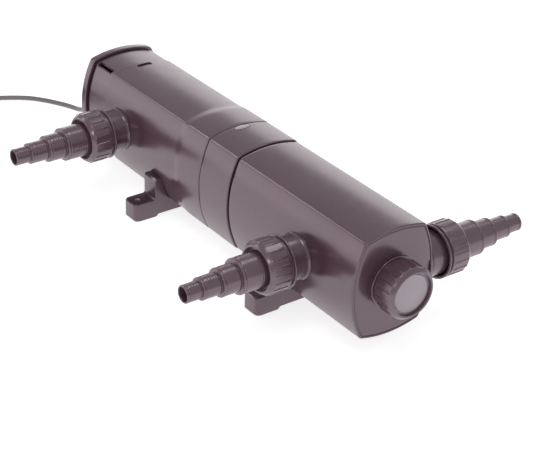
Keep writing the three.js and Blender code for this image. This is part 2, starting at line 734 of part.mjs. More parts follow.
const BALLAST = { low: [-253, -25, 25], high: [-231, 25, 46] };
const TERMINAL = { low: [-262, -18, 119], high: [-246, 18, 131] };
place('ballast_unit', box(BALLAST.low, BALLAST.high), MATERIAL.electronics);
place('terminal_block', box(TERMINAL.low, TERMINAL.high), MATERIAL.whitePlastic);
for (const [i, y] of [-1, 1].entries()) {
  const fromBallast = [-240, 6 * y, BALLAST.high[2] + GAP];
  const toSocket = [-240, 6 * y, AXIS_Z - LAMP_SOCKET.halfHeight - GAP];
  place(`lamp_lead_${i + 1}`, tube([fromBallast, toSocket], 1.2, 8, 2), MATERIAL.lead);
  place(`ballast_lead_${i + 1}`, tube([
    [-250, 12 * y, TERMINAL.low[2] - GAP], [-250, 14 * y, 112], [-250, 18 * y, 100],
    [-250, 19 * y, 70], [-250, 18 * y, 56], [-250, 18 * y, BALLAST.high[2] + GAP],
  ], 1.2, 8, 8), MATERIAL.lead);
}
const gland = glandPieces();
place('gland_body', gland.body, MATERIAL.fitting);
place('gland_nut', gland.nut, MATERIAL.fitting);
place('gland_locknut', gland.locknut, MATERIAL.fitting);
place('mains_tail', tube([
  [-266, 0, CORD.exitZ], [-262, 0, CORD.exitZ + 1.5], [-258.5, 0, CORD.exitZ + 8],
  [-257, 0, 60], [-257, 0, 100], [-257, 0, TERMINAL.low[2] - GAP],
], 2.4, 8, 9), MATERIAL.cord);

place('strain_relief', strainRelief(), MATERIAL.rubber);
place('cord_run', tube(CORD.route, CORD.radius, CORD.sides, 16), MATERIAL.cord);
place('cord_coil', cordCoil(), MATERIAL.cord);
place('cord_tail', tube([
  [PLUG.x, COIL.y - 27.5, 3.3], [PLUG.x, COIL.y - 38, 4.6], [PLUG.x, COIL.y - 50, 10.5],
  [PLUG.x, COIL.y - 61, 17], [PLUG.x, COIL.y - 69, PLUG.z - 0.3],
  [PLUG.x, PLUG.y + PLUG.back + GAP, PLUG.z],
], CORD.radius, CORD.sides, 8), MATERIAL.cord);
place('mains_plug', mainsPlug(), MATERIAL.cord);

export default model;
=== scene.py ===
"""Pond UV clarifier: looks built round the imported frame. Lengths in the tables are millimetres."""

import math

import bmesh
import bpy
from mathutils import Matrix, Vector


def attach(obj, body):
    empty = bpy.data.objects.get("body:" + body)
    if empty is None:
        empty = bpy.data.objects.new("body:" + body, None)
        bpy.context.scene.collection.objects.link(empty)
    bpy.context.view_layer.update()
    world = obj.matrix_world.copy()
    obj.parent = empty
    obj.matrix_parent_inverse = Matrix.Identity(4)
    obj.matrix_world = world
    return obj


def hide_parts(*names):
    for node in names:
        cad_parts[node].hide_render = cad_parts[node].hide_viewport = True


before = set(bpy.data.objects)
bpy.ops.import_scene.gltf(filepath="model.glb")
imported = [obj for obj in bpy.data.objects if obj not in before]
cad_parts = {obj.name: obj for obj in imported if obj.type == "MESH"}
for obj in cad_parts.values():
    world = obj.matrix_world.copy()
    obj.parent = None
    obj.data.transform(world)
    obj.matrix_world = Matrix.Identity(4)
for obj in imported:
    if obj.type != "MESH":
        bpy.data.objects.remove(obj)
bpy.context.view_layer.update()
MM = 0.001
AXIS_Z = 77.5

# The housing's section: half sizes at the corners, bulges of the faces and radius of the ridges.
HALF_W, HALF_H, SIDE_BULGE, TOP_BULGE, CORNER = 39.5, 57.5, 14.5, 6.0, 5.5
NUT_PLANE_Y, NUT_PLANE_X = 74.0, 268.0
# Stations along X, from the cover to the end face.
COVER_BACK, COVER_FRONT, HEAD_BACK, SHOULDER, BULKHEAD = -280.4, -267.7, -265.5, -223.0, -227.0
REAR_END, RING_BACK, RING_FRONT, FRONT_START, FRONT_END = -14.1, -13.4, 42.0, 44.6, 267.5
WALL = 3.0
SPIGOT_R, SPIGOT_BORE, RING_BORE = 49.0, 43.5, 49.5
PORT_BORE, NECK_R = 17.5, 25.0
PORT_X = {"rear_left": -191.2, "front_left": 170.5, "front_right": 243.0}
PORT_SIDE = {"rear_left": -1, "front_left": -1, "front_right": 1}
GLAND_Z = 38.0
SCREW_HOLE_Y, PAD_TOP = 77.0, 22.8
COVER_SCREWS = ((-32, -48), (32, -48), (32, 48), (-32, 48))


# ------------------------------------------------------------------ materials
def principled(name):
    mat = bpy.data.materials.new(name)
    mat.use_nodes = True
    tree = mat.node_tree
    return mat, tree, tree.nodes["Principled BSDF"]


def noise(tree, scale, detail=3.0, rough=0.5, stretch=None):
    coords = tree.nodes.new("ShaderNodeTexCoord")
    tex = tree.nodes.new("ShaderNodeTexNoise")
    tex.inputs["Scale"].default_value = scale
    tex.inputs["Detail"].default_value = detail
    tex.inputs["Roughness"].default_value = rough
    if stretch:
        mapping = tree.nodes.new("ShaderNodeMapping")
        mapping.inputs["Scale"].default_value = stretch
        tree.links.new(coords.outputs["Object"], mapping.inputs["Vector"])
        tree.links.new(mapping.outputs["Vector"], tex.inputs["Vector"])
    else:
        tree.links.new(coords.outputs["Object"], tex.inputs["Vector"])
    return tex


def ramp_between(tree, source, low, high, start=0.35, end=0.65):
    ramp = tree.nodes.new("ShaderNodeValToRGB")
    ramp.color_ramp.elements[0].position = start
    ramp.color_ramp.elements[1].position = end
    ramp.color_ramp.elements[0].color = low
    ramp.color_ramp.elements[1].color = high
    tree.links.new(source, ramp.inputs["Fac"])
    return ramp.outputs["Color"]


def moulded(name, color, rough=(0.24, 0.34), vary=0.12, grain=0.05, grain_scale=1500.0, level=0.5, coat=0.0):
    """Injection-moulded plastic: cloudy colour, uneven gloss and a very fine skin."""
    mat, tree, shader = principled(name)
    cloud = noise(tree, 14.0, 4.0)
    low = [c * (1 - vary) for c in color] + [1]
    high = [c * (1 + vary) for c in color] + [1]
    tree.links.new(ramp_between(tree, cloud.outputs["Fac"], low, high), shader.inputs["Base Color"])
    smudge = noise(tree, 38.0, 5.0, 0.6)
    grey = [[r, r, r, 1] for r in rough]
    tree.links.new(ramp_between(tree, smudge.outputs["Fac"], *grey), shader.inputs["Roughness"])
    skin = noise(tree, grain_scale, 2.0)
    bump = tree.nodes.new("ShaderNodeBump")
    bump.inputs["Strength"].default_value = grain
    bump.inputs["Distance"].default_value = 0.0002
    tree.links.new(skin.outputs["Fac"], bump.inputs["Height"])
    tree.links.new(bump.outputs["Normal"], shader.inputs["Normal"])
    shader.inputs["Specular IOR Level"].default_value = level
    shader.inputs["Specular Tint"].default_value = (1.0, 0.84, 0.93, 1)
    shader.inputs["IOR"].default_value = 1.6
    shader.inputs["Coat Weight"].default_value = coat
    shader.inputs["Coat Roughness"].default_value = 0.12
    return mat


def metal(name, color, rough):
    """Drawn metal with fine streaks."""
    mat, tree, shader = principled(name)
    shader.inputs["Metallic"].default_value = 1.0
    brushed = noise(tree, 300.0, 2.0, 0.5, (1, 8, 8))
    low = [c * 0.85 for c in color] + [1]
    shade = ramp_between(tree, brushed.outputs["Fac"], low, list(color) + [1])
    tree.links.new(shade, shader.inputs["Base Color"])
    grey = [[r, r, r, 1] for r in (rough * 0.8, rough * 1.2)]
    tree.links.new(ramp_between(tree, brushed.outputs["Fac"], *grey), shader.inputs["Roughness"])
    return mat


def clear_glass(name, color, rough, transmission):
    """Glass with a faint uneven film."""
    mat, tree, shader = principled(name)
    film = noise(tree, 30.0, 3.0)
    grey = [[r, r, r, 1] for r in (rough * 0.6, rough * 1.4)]
    tree.links.new(ramp_between(tree, film.outputs["Fac"], *grey), shader.inputs["Roughness"])
    low = [c * 0.96 for c in color] + [1]
    shade = ramp_between(tree, film.outputs["Fac"], low, list(color) + [1])
    tree.links.new(shade, shader.inputs["Base Color"])
    shader.inputs["Transmission Weight"].default_value = transmission
    shader.inputs["IOR"].default_value = 1.46
    return mat


MAT = {
    "housing": moulded("housing_plastic", (0.068, 0.035, 0.049), (0.2, 0.25), vary=0.07, level=0.95),
    "dark_panel": moulded("panel_plastic", (0.1, 0.08, 0.084), (0.34, 0.42), grain=0.12, level=0.45),
    "fitting": moulded("fitting_plastic", (0.084, 0.048, 0.064), (0.18, 0.26), vary=0.07, level=1.0),
    "blank": moulded("blank_plastic", (0.33, 0.29, 0.32), (0.3, 0.4), vary=0.09, grain=0.1, level=0.5),
    "seal": moulded("seal_rubber", (0.012, 0.011, 0.012), (0.6, 0.75), grain=0.2, level=0.3),
    "recess": moulded("recess_shadow", (0.01, 0.008, 0.01), (0.7, 0.8), level=0.15),
    "lens": moulded("lens_plastic", (0.4, 0.36, 0.37), (0.2, 0.3), vary=0.12, grain=0.02),
    "white_plastic": moulded("white_plastic", (0.62, 0.61, 0.58), (0.4, 0.5), vary=0.04),
    "electronics": moulded("potted_block", (0.5, 0.49, 0.45), (0.45, 0.6), grain=0.2),
    "lead": moulded("lead_wire", (0.04, 0.11, 0.32), (0.3, 0.4)),
    "cord": moulded("cord_sheath", (0.175, 0.165, 0.172), (0.36, 0.48), vary=0.07, grain=0.16, level=0.4),
    "cord_rubber": moulded("cord_rubber", (0.05, 0.046, 0.05), (0.45, 0.55), grain=0.18, level=0.4),
    "tie": moulded("tie_band", (0.02, 0.02, 0.022), (0.7, 0.85), grain=0.5, grain_scale=700.0, level=0.2),
    "steel": metal("stainless_steel", (0.6, 0.6, 0.59), 0.28),
    "brass": metal("plated_brass", (0.72, 0.66, 0.52), 0.25),
    "quartz": clear_glass("quartz_glass", (0.95, 0.97, 0.98), 0.03, 0.96),
    "lamp_glass": clear_glass("lamp_tube_glass", (0.93, 0.95, 0.97), 0.12, 0.55),
}


# ------------------------------------------------------------------ mesh helpers
def outline(inset, sides=14, corners=9, tops=12):
    """[y, z] round the housing's section, moved inwards by inset."""
    w, h = HALF_W, HALF_H
    side_r = (h * h + SIDE_BULGE**2) / (2 * SIDE_BULGE)
    top_r = (w * w + TOP_BULGE**2) / (2 * TOP_BULGE)
    side_c, top_c = w + SIDE_BULGE - side_r, h + TOP_BULGE - top_r
    corner = max(CORNER - inset, 0.5)
    a, b, span = side_r - inset - corner, top_r - inset - corner, math.hypot(side_c, top_c)
    along = (a * a - b * b + span * span) / (2 * span)
    off = math.sqrt(a * a - along * along)
    ey, ez = -side_c / span, top_c / span
    cy, cz = side_c + along * ey - off * ez, along * ez + off * ey
    side_end, top_end = math.atan2(cz, cy - side_c), math.atan2(cz - top_c, cy)
    quarter = []
    for oy, oz, r, start, end, steps in (
        (side_c, 0, side_r - inset, 0, side_end, sides),
        (cy, cz, corner, side_end, top_end, corners),
        (0, top_c, top_r - inset, top_end, math.pi / 2, tops),
    ):
        for i in range(steps):
            t = start + (end - start) * i / steps
            quarter.append((oy + r * math.cos(t), oz + r * math.sin(t)))
    top = (0, top_c + top_r - inset)
    right = [(y, -z) for y, z in reversed(quarter[1:])] + quarter
    return right + [top] + [(-y, -z) for y, z in right] + [(0, -top[1])]


ANGLES = [math.atan2(z, y) for y, z in outline(0)]


def sec(x, inset):
    return [(x, y, AXIS_Z + z) for y, z in outline(inset)]


def circ(x, r):
    return [(x, r * math.cos(a), AXIS_Z + r * math.sin(a)) for a in ANGLES]


def finish_mesh(name, verts, faces, mat, angle=30.0):
    mesh = bpy.data.meshes.new(name)
    mesh.from_pydata([[c * MM for c in v] for v in verts], [], faces)
    mesh.validate()
    work = bmesh.new()
    work.from_mesh(mesh)
    bmesh.ops.remove_doubles(work, verts=work.verts, dist=1e-7)
    bmesh.ops.recalc_face_normals(work, faces=work.faces)
    work.to_mesh(mesh)
    work.free()
    mesh.shade_smooth()
    mesh.set_sharp_from_angle(angle=math.radians(angle))
    obj = bpy.data.objects.new(name, mesh)
    bpy.context.scene.collection.objects.link(obj)
    obj.data.materials.append(MAT[mat])
    return obj


def skin(rings, loop=False, start=0):
    """Vertices and faces of rings joined one to the next; the ends are capped unless it loops."""
    n = len(rings[0])
    verts = [p for ring in rings for p in ring]
    faces = []
    pairs = len(rings) if loop else len(rings) - 1
    for k in range(pairs):
        a, b = k * n, ((k + 1) % len(rings)) * n
        for i in range(n):
            j = (i + 1) % n
            faces.append((start + a + i, start + a + j, start + b + j, start + b + i))
    if not loop:
        last = (len(rings) - 1) * n
        faces.append([start + i for i in range(n)][::-1])
        faces.append([start + last + i for i in range(n)])
    return verts, faces


def join_skins(name, skins, mat, angle=30.0):
    verts, faces = [], []
    for rings, loop in skins:
        v, f = skin(rings, loop, len(verts))
        verts += v
        faces += f
    return finish_mesh(name, verts, faces, mat, angle)


def frame_of(port):
    """Origin and axes u, v, d of a port, at the rear plane of its union nut."""
    if port == "end":
        return Vector((NUT_PLANE_X, 0, AXIS_Z)), Vector((0, 0, -1)), Vector((0, 1, 0)), Vector((1, 0, 0))
    s = PORT_SIDE[port]
    return (
        Vector((PORT_X[port], s * NUT_PLANE_Y, AXIS_Z)),
        Vector((1, 0, 0)), Vector((0, 0, -s)), Vector((0, s, 0)),
    )


def lathe_rings(profile, place, segments=96):
    o, u, v, d = place
    rings = []
    for r, along in profile:
        ring = []
        for i in range(segments):
            t = 2 * math.pi * i / segments
            ring.append(tuple(o + d * along + u * (r * math.cos(t)) + v * (r * math.sin(t))))
        rings.append(ring)
    return rings


def along_x(x, y, z):
    """Axes of a round piece that points along +X from (x, y, z)."""
    return Vector((x, y, z)), Vector((0, 0, -1)), Vector((0, 1, 0)), Vector((1, 0, 0))


def upright(x, y, z):
    """Axes of a round piece that points up from (x, y, z)."""
    return Vector((x, y, z)), Vector((1, 0, 0)), Vector((0, 1, 0)), Vector((0, 0, 1))


def turned(name, profile, place, mat, segments=96, loop=True, angle=30.0):
    """One lathed piece; its profile is [radius, distance along] pairs."""
    return join_skins(name, [(lathe_rings(profile, place, segments), loop)], mat, angle)


def subtract(obj, tools):
    for tool in tools:
        mod = obj.modifiers.new("cut", "BOOLEAN")
        mod.operation = "DIFFERENCE"
        mod.solver = "EXACT"
        mod.object = tool
    bpy.context.view_layer.update()
    depsgraph = bpy.context.evaluated_depsgraph_get()
    mesh = bpy.data.meshes.new_from_object(obj.evaluated_get(depsgraph))
    obj.modifiers.clear()
    obj.data = mesh
    mesh.shade_smooth()
    mesh.set_sharp_from_angle(angle=math.radians(30))
    for tool in tools:
        bpy.data.objects.remove(tool)


AXIS = along_x(0, 0, AXIS_Z)
GLAND = along_x(0, 0, GLAND_Z)


def block(low, high, mat="recess", bevel=0.6, name="block", segments=3):
    xs, ys, zs = zip(low, high)
    verts = [(x, y, z) for x in xs for y in ys for z in zs]
    faces = [(0, 1, 3, 2), (4, 6, 7, 5), (0, 4, 5, 1), (2, 3, 7, 6), (0, 2, 6, 4), (1, 5, 7, 3)]
    obj = finish_mesh(name, verts, faces, mat)
    if bevel:
        round_edges(obj, bevel, segments)
    return obj


def bevel(work, edges, width, segments):
    bmesh.ops.bevel(
        work, geom=edges, offset=width * MM, segments=segments,
        profile=0.5, affect="EDGES", clamp_overlap=True,
    )


def round_edges(obj, width, segments=3, angle=30.0):
    work = bmesh.new()
    work.from_mesh(obj.data)
    edges = [e for e in work.edges if len(e.link_faces) == 2 and e.calc_face_angle(0) > math.radians(angle)]
    bevel(work, edges, width, segments)
    work.to_mesh(obj.data)
    work.free()
    obj.data.shade_smooth()
    obj.data.set_sharp_from_angle(angle=math.radians(40))


def round_corners(obj, reach, width):
    """Rounds the upright outer corners, before the other edges."""
    work = bmesh.new()
    work.from_mesh(obj.data)
    edges = []
    for edge in work.edges:
        a, b = (v.co for v in edge.verts)
        if min(abs(a.y), abs(b.y)) > (reach - 2.5) * MM and abs(a.x - b.x) < 1e-6:
            edges.append(edge)
    bevel(work, edges, width, 6)
    work.to_mesh(obj.data)
    work.free()


def show(obj, body, slot, *nodes):
    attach(obj, body)
    if nodes:
        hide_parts(*nodes)
    return obj


def rounded(x_edge, x_dir, inset, radius, steps=4):
    """Stations that round an outer edge: from the side, at x_edge + x_dir * radius, to the end face."""
    out = []
    for i in range(steps + 1):
        t = math.pi / 2 * i / steps
        out.append((x_edge + x_dir * radius * (1 - math.sin(t)), inset + radius * (1 - math.cos(t))))
    return out


def thread_ridge(place, root, crest, start, end, pitch, steps_per_turn=48):
    """A helical ridge, as rings of four points, tapering to nothing at both ends."""
    o, u, v, d = place
    turns = (end - start) / pitch
    count = int(turns * steps_per_turn)
    rings = []
    for i in range(count + 1):
        t = 2 * math.pi * i / steps_per_turn
        along = start + (end - start) * i / count
        fade = min(1.0, 4 * i / count, 4 * (count - i) / count)
        high = root + (crest - root) * fade
        ring = []
        for r, shift in ((root - 0.4, -1.5), (high, -0.5), (high, 0.5), (root - 0.4, 1.5)):
            ring.append(tuple(o + d * (along + shift) + u * (r * math.cos(t)) + v * (r * math.sin(t))))
        rings.append(ring)
    return rings


# ------------------------------------------------------------------ camera and cord
def add_camera():
    """Long lens from the front left, a little above; the base leans 2 degrees."""
    azimuth, elevation, roll = math.radians(53.24), math.radians(29.39), math.radians(2.0)
    level = math.cos(elevation)
    back = Vector((math.sin(azimuth) * level, -math.cos(azimuth) * level, math.sin(elevation)))
    right = Vector((math.cos(azimuth), math.sin(azimuth), 0))
    up = back.cross(right)
    right, up = (
        right * math.cos(roll) + up * math.sin(roll),
        up * math.cos(roll) - right * math.sin(roll),
    )
    data = bpy.data.cameras.new("camera")
    data.lens = 109.4
    data.sensor_width = 36.0
    data.clip_end = 30.0
    camera = bpy.data.objects.new("camera", data)
    target = Vector((40.8, 3.4, 36.1)) * MM
    place = Matrix((right, up, back)).transposed().to_4x4()
    place.translation = target + back * 1.8654
    camera.matrix_world = place
    bpy.context.scene.collection.objects.link(camera)
    bpy.context.scene.camera = camera


COIL_X, COIL_Y, COIL_TURN = -486.8, -150.6, 46.4
PLUG_Y, PLUG_Z = -258.0, 19.4
ROUTE = [
    (-332.3, 0, 38), (-340, 0, 37.3), (-350, 0.4, 34.2), (-360, 1.4, 28.6), (-370, 3, 21.4),
    (-380, 5, 14.2), (-391, 7, 8.2), (-404, 7.6, 4.4), (-418, 4, 3.4), (-431, -2.5, 3.3),
    (-445, -10.6, 3.3), (-457, -19, 3.3), (-468, -28.6, 3.3), (-480, -44.5, 3.3),
    (-490.4, -62.6, 3.3), (-502.1, -83.5, 3.3), (-513.4, -103.5, 3.3),
]
CORD_D = 6.2


def coil_points(step=6.25, layer=6.2, per_turn=18):
    """The stored length: flat spirals laid one on the other, then the outer column wound down."""
    points = []
    angle = 150.6
    r, z = COIL_TURN, 3.3
    inner, outer = COIL_TURN - 4 * step, COIL_TURN - step

    def run(turns, r_to, z_to):
        nonlocal angle, r, z
        count = max(2, round(turns * per_turn))
        r_from, z_from = r, z
        for i in range(1, count + 1):
            k = i / count
            rr, zz = r_from + (r_to - r_from) * k, z_from + (z_to - z_from) * k
            t = math.radians(angle + 360 * turns * k)
            points.append((COIL_X + rr * math.cos(t), COIL_Y + rr * math.sin(t), zz))
        angle += 360 * turns
        r, z = r_to, z_to

    points.append((COIL_X + r * math.cos(math.radians(angle)), COIL_Y + r * math.sin(math.radians(angle)), z))
    run(4, inner, z)
    run(0.5, inner, z)
    for side in (outer, inner, outer):
        run(0.25, r, z + layer)
        run(3, side, z)
        run(0.5, side, z)
    run(0.3, outer, z + layer)
    run(0.8, outer, z)
    run(0.35, COIL_TURN, z)
    left = (180 - angle) % 360 / 360
    turns = left + math.ceil((z - 9.5) / layer - left)
    run(turns, COIL_TURN, 9.5)
    return points


def add_cord():
    points = ROUTE + coil_points()
    x = COIL_X - COIL_TURN
    points += [
        (x, COIL_Y - 10, 9.3), (x, COIL_Y - 20, 8.0), (x, COIL_Y - 29, 6.0), (x, COIL_Y - 38, 6.0),
        (x, COIL_Y - 50, 10.5), (x, COIL_Y - 61, 17), (x, COIL_Y - 69, PLUG_Z - 0.3),
        (x, PLUG_Y + 33.3, PLUG_Z),
    ]
    curve = bpy.data.curves.new("mains_cord", "CURVE")
    curve.dimensions = "3D"
    curve.bevel_depth = CORD_D / 2 * MM
    curve.bevel_resolution = 4
    curve.resolution_u = 3
    curve.use_fill_caps = True
    spline = curve.splines.new("BEZIER")
    spline.bezier_points.add(len(points) - 1)
    for knot, p in zip(spline.bezier_points, points):
        knot.co = [c * MM for c in p]
        knot.handle_left_type = knot.handle_right_type = "AUTO"
    curve.materials.append(MAT["cord"])
    cord = bpy.data.objects.new("mains_cord", curve)
    bpy.context.scene.collection.objects.link(cord)
    show(cord, "rear_body", "cord", "cord_run", "cord_coil", "cord_tail")
    return cord


def add_plug():
    at = Vector((COIL_X - COIL_TURN, PLUG_Y, PLUG_Z))
    place = (at, Vector((1, 0, 0)), Vector((0, 0, -1)), Vector((0, 1, 0)))
    body = [(0.01, -14), (17.6, -14), (18.6, -13.6), (19.2, -12.5), (19.2, -6)]
    for k in range(4):
        a = -5 + k * 2.4
        body += [(19.2, a), (18.5, a + 0.5), (18.5, a + 1.2), (19.2, a + 1.7)]
    body += [(18.6, 5.4), (16.5, 8.2), (12.5, 11), (9, 13.4), (7.6, 16), (6.9, 20)]
    for k in range(4):
        a = 21 + k * 2.8
        r = 6.6 - k * 0.4
        body += [(r, a), (r - 1, a + 0.6), (r - 1, a + 1.4), (r - 0.2, a + 2)]
    body += [(5, 33), (0.01, 33)]
    plug = turned("plug_body", body, place, "cord_rubber", 64, False)
    show(plug, "rear_body", "cord", "mains_plug")
    pieces = [plug]
    for sign in (-1, 1):
        o, u, v, d = place
        at = (o + u * (9.5 * sign), u, v, d)
        sleeve = [(0.01, -23.5), (1.95, -23.5), (1.95, -13.5), (0.01, -13.5)]
        pin = [(0.01, -33), (1.1, -32.8), (1.9, -32), (2.4, -30.6), (2.4, -23), (0.01, -23)]
        collar = turned(f"plug_sleeve_{sign}", sleeve, at, "cord_rubber", 24, False)
        pieces.append(show(collar, "rear_body", "cord"))
        contact = turned(f"plug_pin_{sign}", pin, at, "brass", 24, False)
        pieces.append(show(contact, "rear_body", "steel"))
    return pieces


def add_tie():
    """A flat band round the coil's cross-section, holding its turns together."""
    angle = math.radians(300)
    radial = Vector((math.cos(angle), math.sin(angle), 0))
    side = Vector((-math.sin(angle), math.cos(angle), 0))
    centre = Vector((COIL_X, COIL_Y, 0))
    path = []
    r0, r1, z0, z1, c = 17.2, 50.6, 0.1, 31.6, 4.0
    corners = ((r1 - c, z1 - c, 0), (r0 + c, z1 - c, 90), (r0 + c, z0 + c, 180), (r1 - c, z0 + c, 270))
    for cr, cz, start in corners:
        for k in range(7):
            t = math.radians(start + 15 * k)
            path.append((cr + c * math.cos(t), cz + c * math.sin(t), math.cos(t), math.sin(t)))
    rings = []
    for pr, pz, nr, nz in path:
        thick = 0.08 if nz < -0.5 else 0.9
        ring = []
        for w, t in ((-4, 0), (4, 0), (4, thick), (-4, thick)):
            ring.append(tuple(centre + radial * (pr + nr * t) + side * w + Vector((0, 0, pz + nz * t))))
        rings.append(ring)
    band = join_skins("cord_tie", [(rings, True)], "tie")
    return show(band, "rear_body", "cord_rubber")


add_camera()
cord = add_cord()
plug_pieces = add_plug()
tie = add_tie()


# ------------------------------------------------------------------ housings
def side_neck(port):
    """Rings of the neck that a side nut screws on to, from inside the wall outwards."""
    profile = [
        (PORT_BORE, -24), (26.6, -24), (26.4, -20), (25.4, -18.6), (NECK_R, -17), (NECK_R, 8),
        (26, 9), (26, 19.4), (25.4, 20), (PORT_BORE, 20),
    ]
    return lathe_rings(profile, frame_of(port), 96)


def port_bore(port, start, end):
    profile = [(PORT_BORE, start), (PORT_BORE, end)]
    return turned("bore_tool", profile, frame_of(port), "recess", 64, False)


def add_rear_housing():
    x0, x1, out = SHOULDER, REAR_END, -1.1
    stations = [(x0, 0.9), (x0 + 0.25, 0.35), (x0 + 0.8, 0)]
    stations += [(x, 0) for x in (-221.6, -220.4, -214, -210, -206, -191, -176, -160, -130, -95, -76, -70)]
    # The housing widens in a soft step before the ring.
    stations += [(-68, -0.04), (-66, -0.16), (-64, -0.35), (-62, -0.56), (-60, -0.77), (-58, -0.94)]
    stations += [(-56, -1.04), (-54, -1.08)]
    stations += [(x, out) for x in (-50, -40, -30, -20)] + rounded(x1, -1, out, 0.9)
    rings = [sec(x, i) for x, i in stations]
    rings += [sec(x1, 2), circ(x1, SPIGOT_R + 1), circ(x1 + 0.6, SPIGOT_R), circ(11.9, SPIGOT_R)]
    rings += [circ(12.5, SPIGOT_R - 0.6), circ(12.5, SPIGOT_BORE + 0.4), circ(12.1, SPIGOT_BORE)]
    rings += [circ(-20.1, SPIGOT_BORE), sec(-20.1, 6)]
    rings += [sec(x, WALL) for x in (-20.6, -60, -160, -222.6)] + [sec(x0, 2.6)]
    thread = thread_ridge(frame_of("rear_left"), 26, 26.5, 10, 18, 4)
    body = join_skins("rear_housing_look", [(rings, True)], "housing")
    subtract(body, [
        port_bore("rear_left", -45, 25),
        block((-220.6, -9.6, 137), (-213.4, 9.6, 150), bevel=1.2, name="slot_top"),
        block((-220.6, -9.6, 4), (-213.4, 9.6, 18), bevel=1.2, name="slot_low"),
    ])
    show(body, "rear_body", "housing", "rear_housing")
    neck = join_skins("rear_left_neck", [(side_neck("rear_left"), True), (thread, False)], "housing")
    show(neck, "rear_body", "housing")


def add_front_housing():
    x0, x1 = FRONT_START, FRONT_END
    stations = [(x0, 1.0), (x0 + 0.2, 0.4), (x0 + 0.9, 0)]
    stations += [(x, 0) for x in (48, 60, 90, 120, 143, 170, 198, 215, 243, 262)]
    stations += rounded(x1, -1, 0, 1.5, 6)
    # A bead and a fine groove run round the end face.
    stations += [(x1, 2.2), (x1 - 0.25, 2.5), (x1 - 1.0, 2.8), (x1 - 1.0, 3.3), (x1 - 0.5, 3.7)]
    stations += [(x1 - 0.3, 4.2)]
    rings = [sec(x, i) for x, i in stations]
    rings += [sec(x1 - 0.15, 6.5), sec(x1, 9), circ(x1 + 0.1, 34), circ(x1 + 0.1, 27)]
    rings += [circ(x1 + 0.5, 25.4), circ(x1 + 1.2, NECK_R), circ(276, NECK_R), circ(277, 26)]
    rings += [circ(287.4, 26), circ(288, 25.4), circ(288, PORT_BORE), circ(x1 - 4, PORT_BORE)]
    rings += [circ(x1 - 4, 34), sec(x1 - 4, 9), sec(x1 - 4, 4)]
    rings += [sec(x, WALL) for x in (x1 - 4.8, 243, 170, 51.6)]
    rings += [sec(50.6, 4), sec(50.6, 9), circ(50.6, SPIGOT_BORE), circ(16, SPIGOT_BORE)]
    rings += [circ(15.5, SPIGOT_BORE + 0.5), circ(15.5, SPIGOT_R - 0.6), circ(16.1, SPIGOT_R)]
    rings += [circ(x0 - 0.6, SPIGOT_R), circ(x0, SPIGOT_R + 1), sec(x0, 2.6)]
    body = join_skins("front_housing_look", [(rings, True)], "housing")
    subtract(body, [port_bore("front_left", -45, 25), port_bore("front_right", -45, 25)])
    show(body, "front_body", "housing", "front_housing")
    for port in ("front_left", "front_right"):
        thread = thread_ridge(frame_of(port), 26, 26.5, 10, 18, 4)
        neck = join_skins(f"{port}_neck", [(side_neck(port), True), (thread, False)], "housing")
        show(neck, "front_body", "housing")
    thread = thread_ridge(frame_of("end"), 26, 26.5, 10, 18, 4)
    show(join_skins("end_thread", [(thread, False)], "housing"), "front_body", "housing")


def add_coupling_ring():
    x0, x1, out = RING_BACK, RING_FRONT, -0.9
    stations = [(x, i) for x, i in rounded(x0, 1, out, 0.9)][::-1]
    stations += [(x, out) for x in (-10, 0, 15, 30, 38)] + rounded(x1, -1, out, 1.3, 5)
    rings = [sec(x, i) for x, i in stations]
    rings += [sec(x1, 2.4), circ(x1, RING_BORE + 0.9), circ(x1 - 0.9, RING_BORE)]
    rings += [circ(x0 + 0.9, RING_BORE), circ(x0, RING_BORE + 0.9), sec(x0, 2.4)]
    body = join_skins("coupling_ring_look", [(rings, True)], "housing")
    show(body, "ring", "housing", "coupling_ring")


def lens_ring(scale_x, scale_y, height, x=-8.3, n=64):
    """An oval on the ring's top, lifted by height; its long way follows the top's curve."""
    top = HALF_H + TOP_BULGE + 0.9
    ring = []
    for i in range(n):
        t = 2 * math.pi * i / n
        y = scale_y * math.sin(t)
        ring.append((x + scale_x * math.cos(t), y, AXIS_Z + top - y * y / 266 + height))
    return ring


def add_lens():
    dome = [
        lens_ring(*size) for size in (
            (4.1, 9.9, -0.6), (4.1, 9.9, 0.1), (3.8, 9.4, 0.32), (3.2, 8.4, 0.5), (2.2, 6.2, 0.65),
            (1, 3, 0.72),
        )
    ]
    lens = join_skins("sight_lens_look", [(dome, False)], "lens", 50)
    show(lens, "ring", "lens", "sight_lens")
    rim = [
        lens_ring(*size) for size in ((4.1, 9.9, -0.4), (4.2, 10, 0.14), (4.7, 10.5, 0.16), (4.9, 10.7, -0.4))
    ]
    show(join_skins("sight_lens_rim", [(rim, True)], "seal"), "ring", "seal")


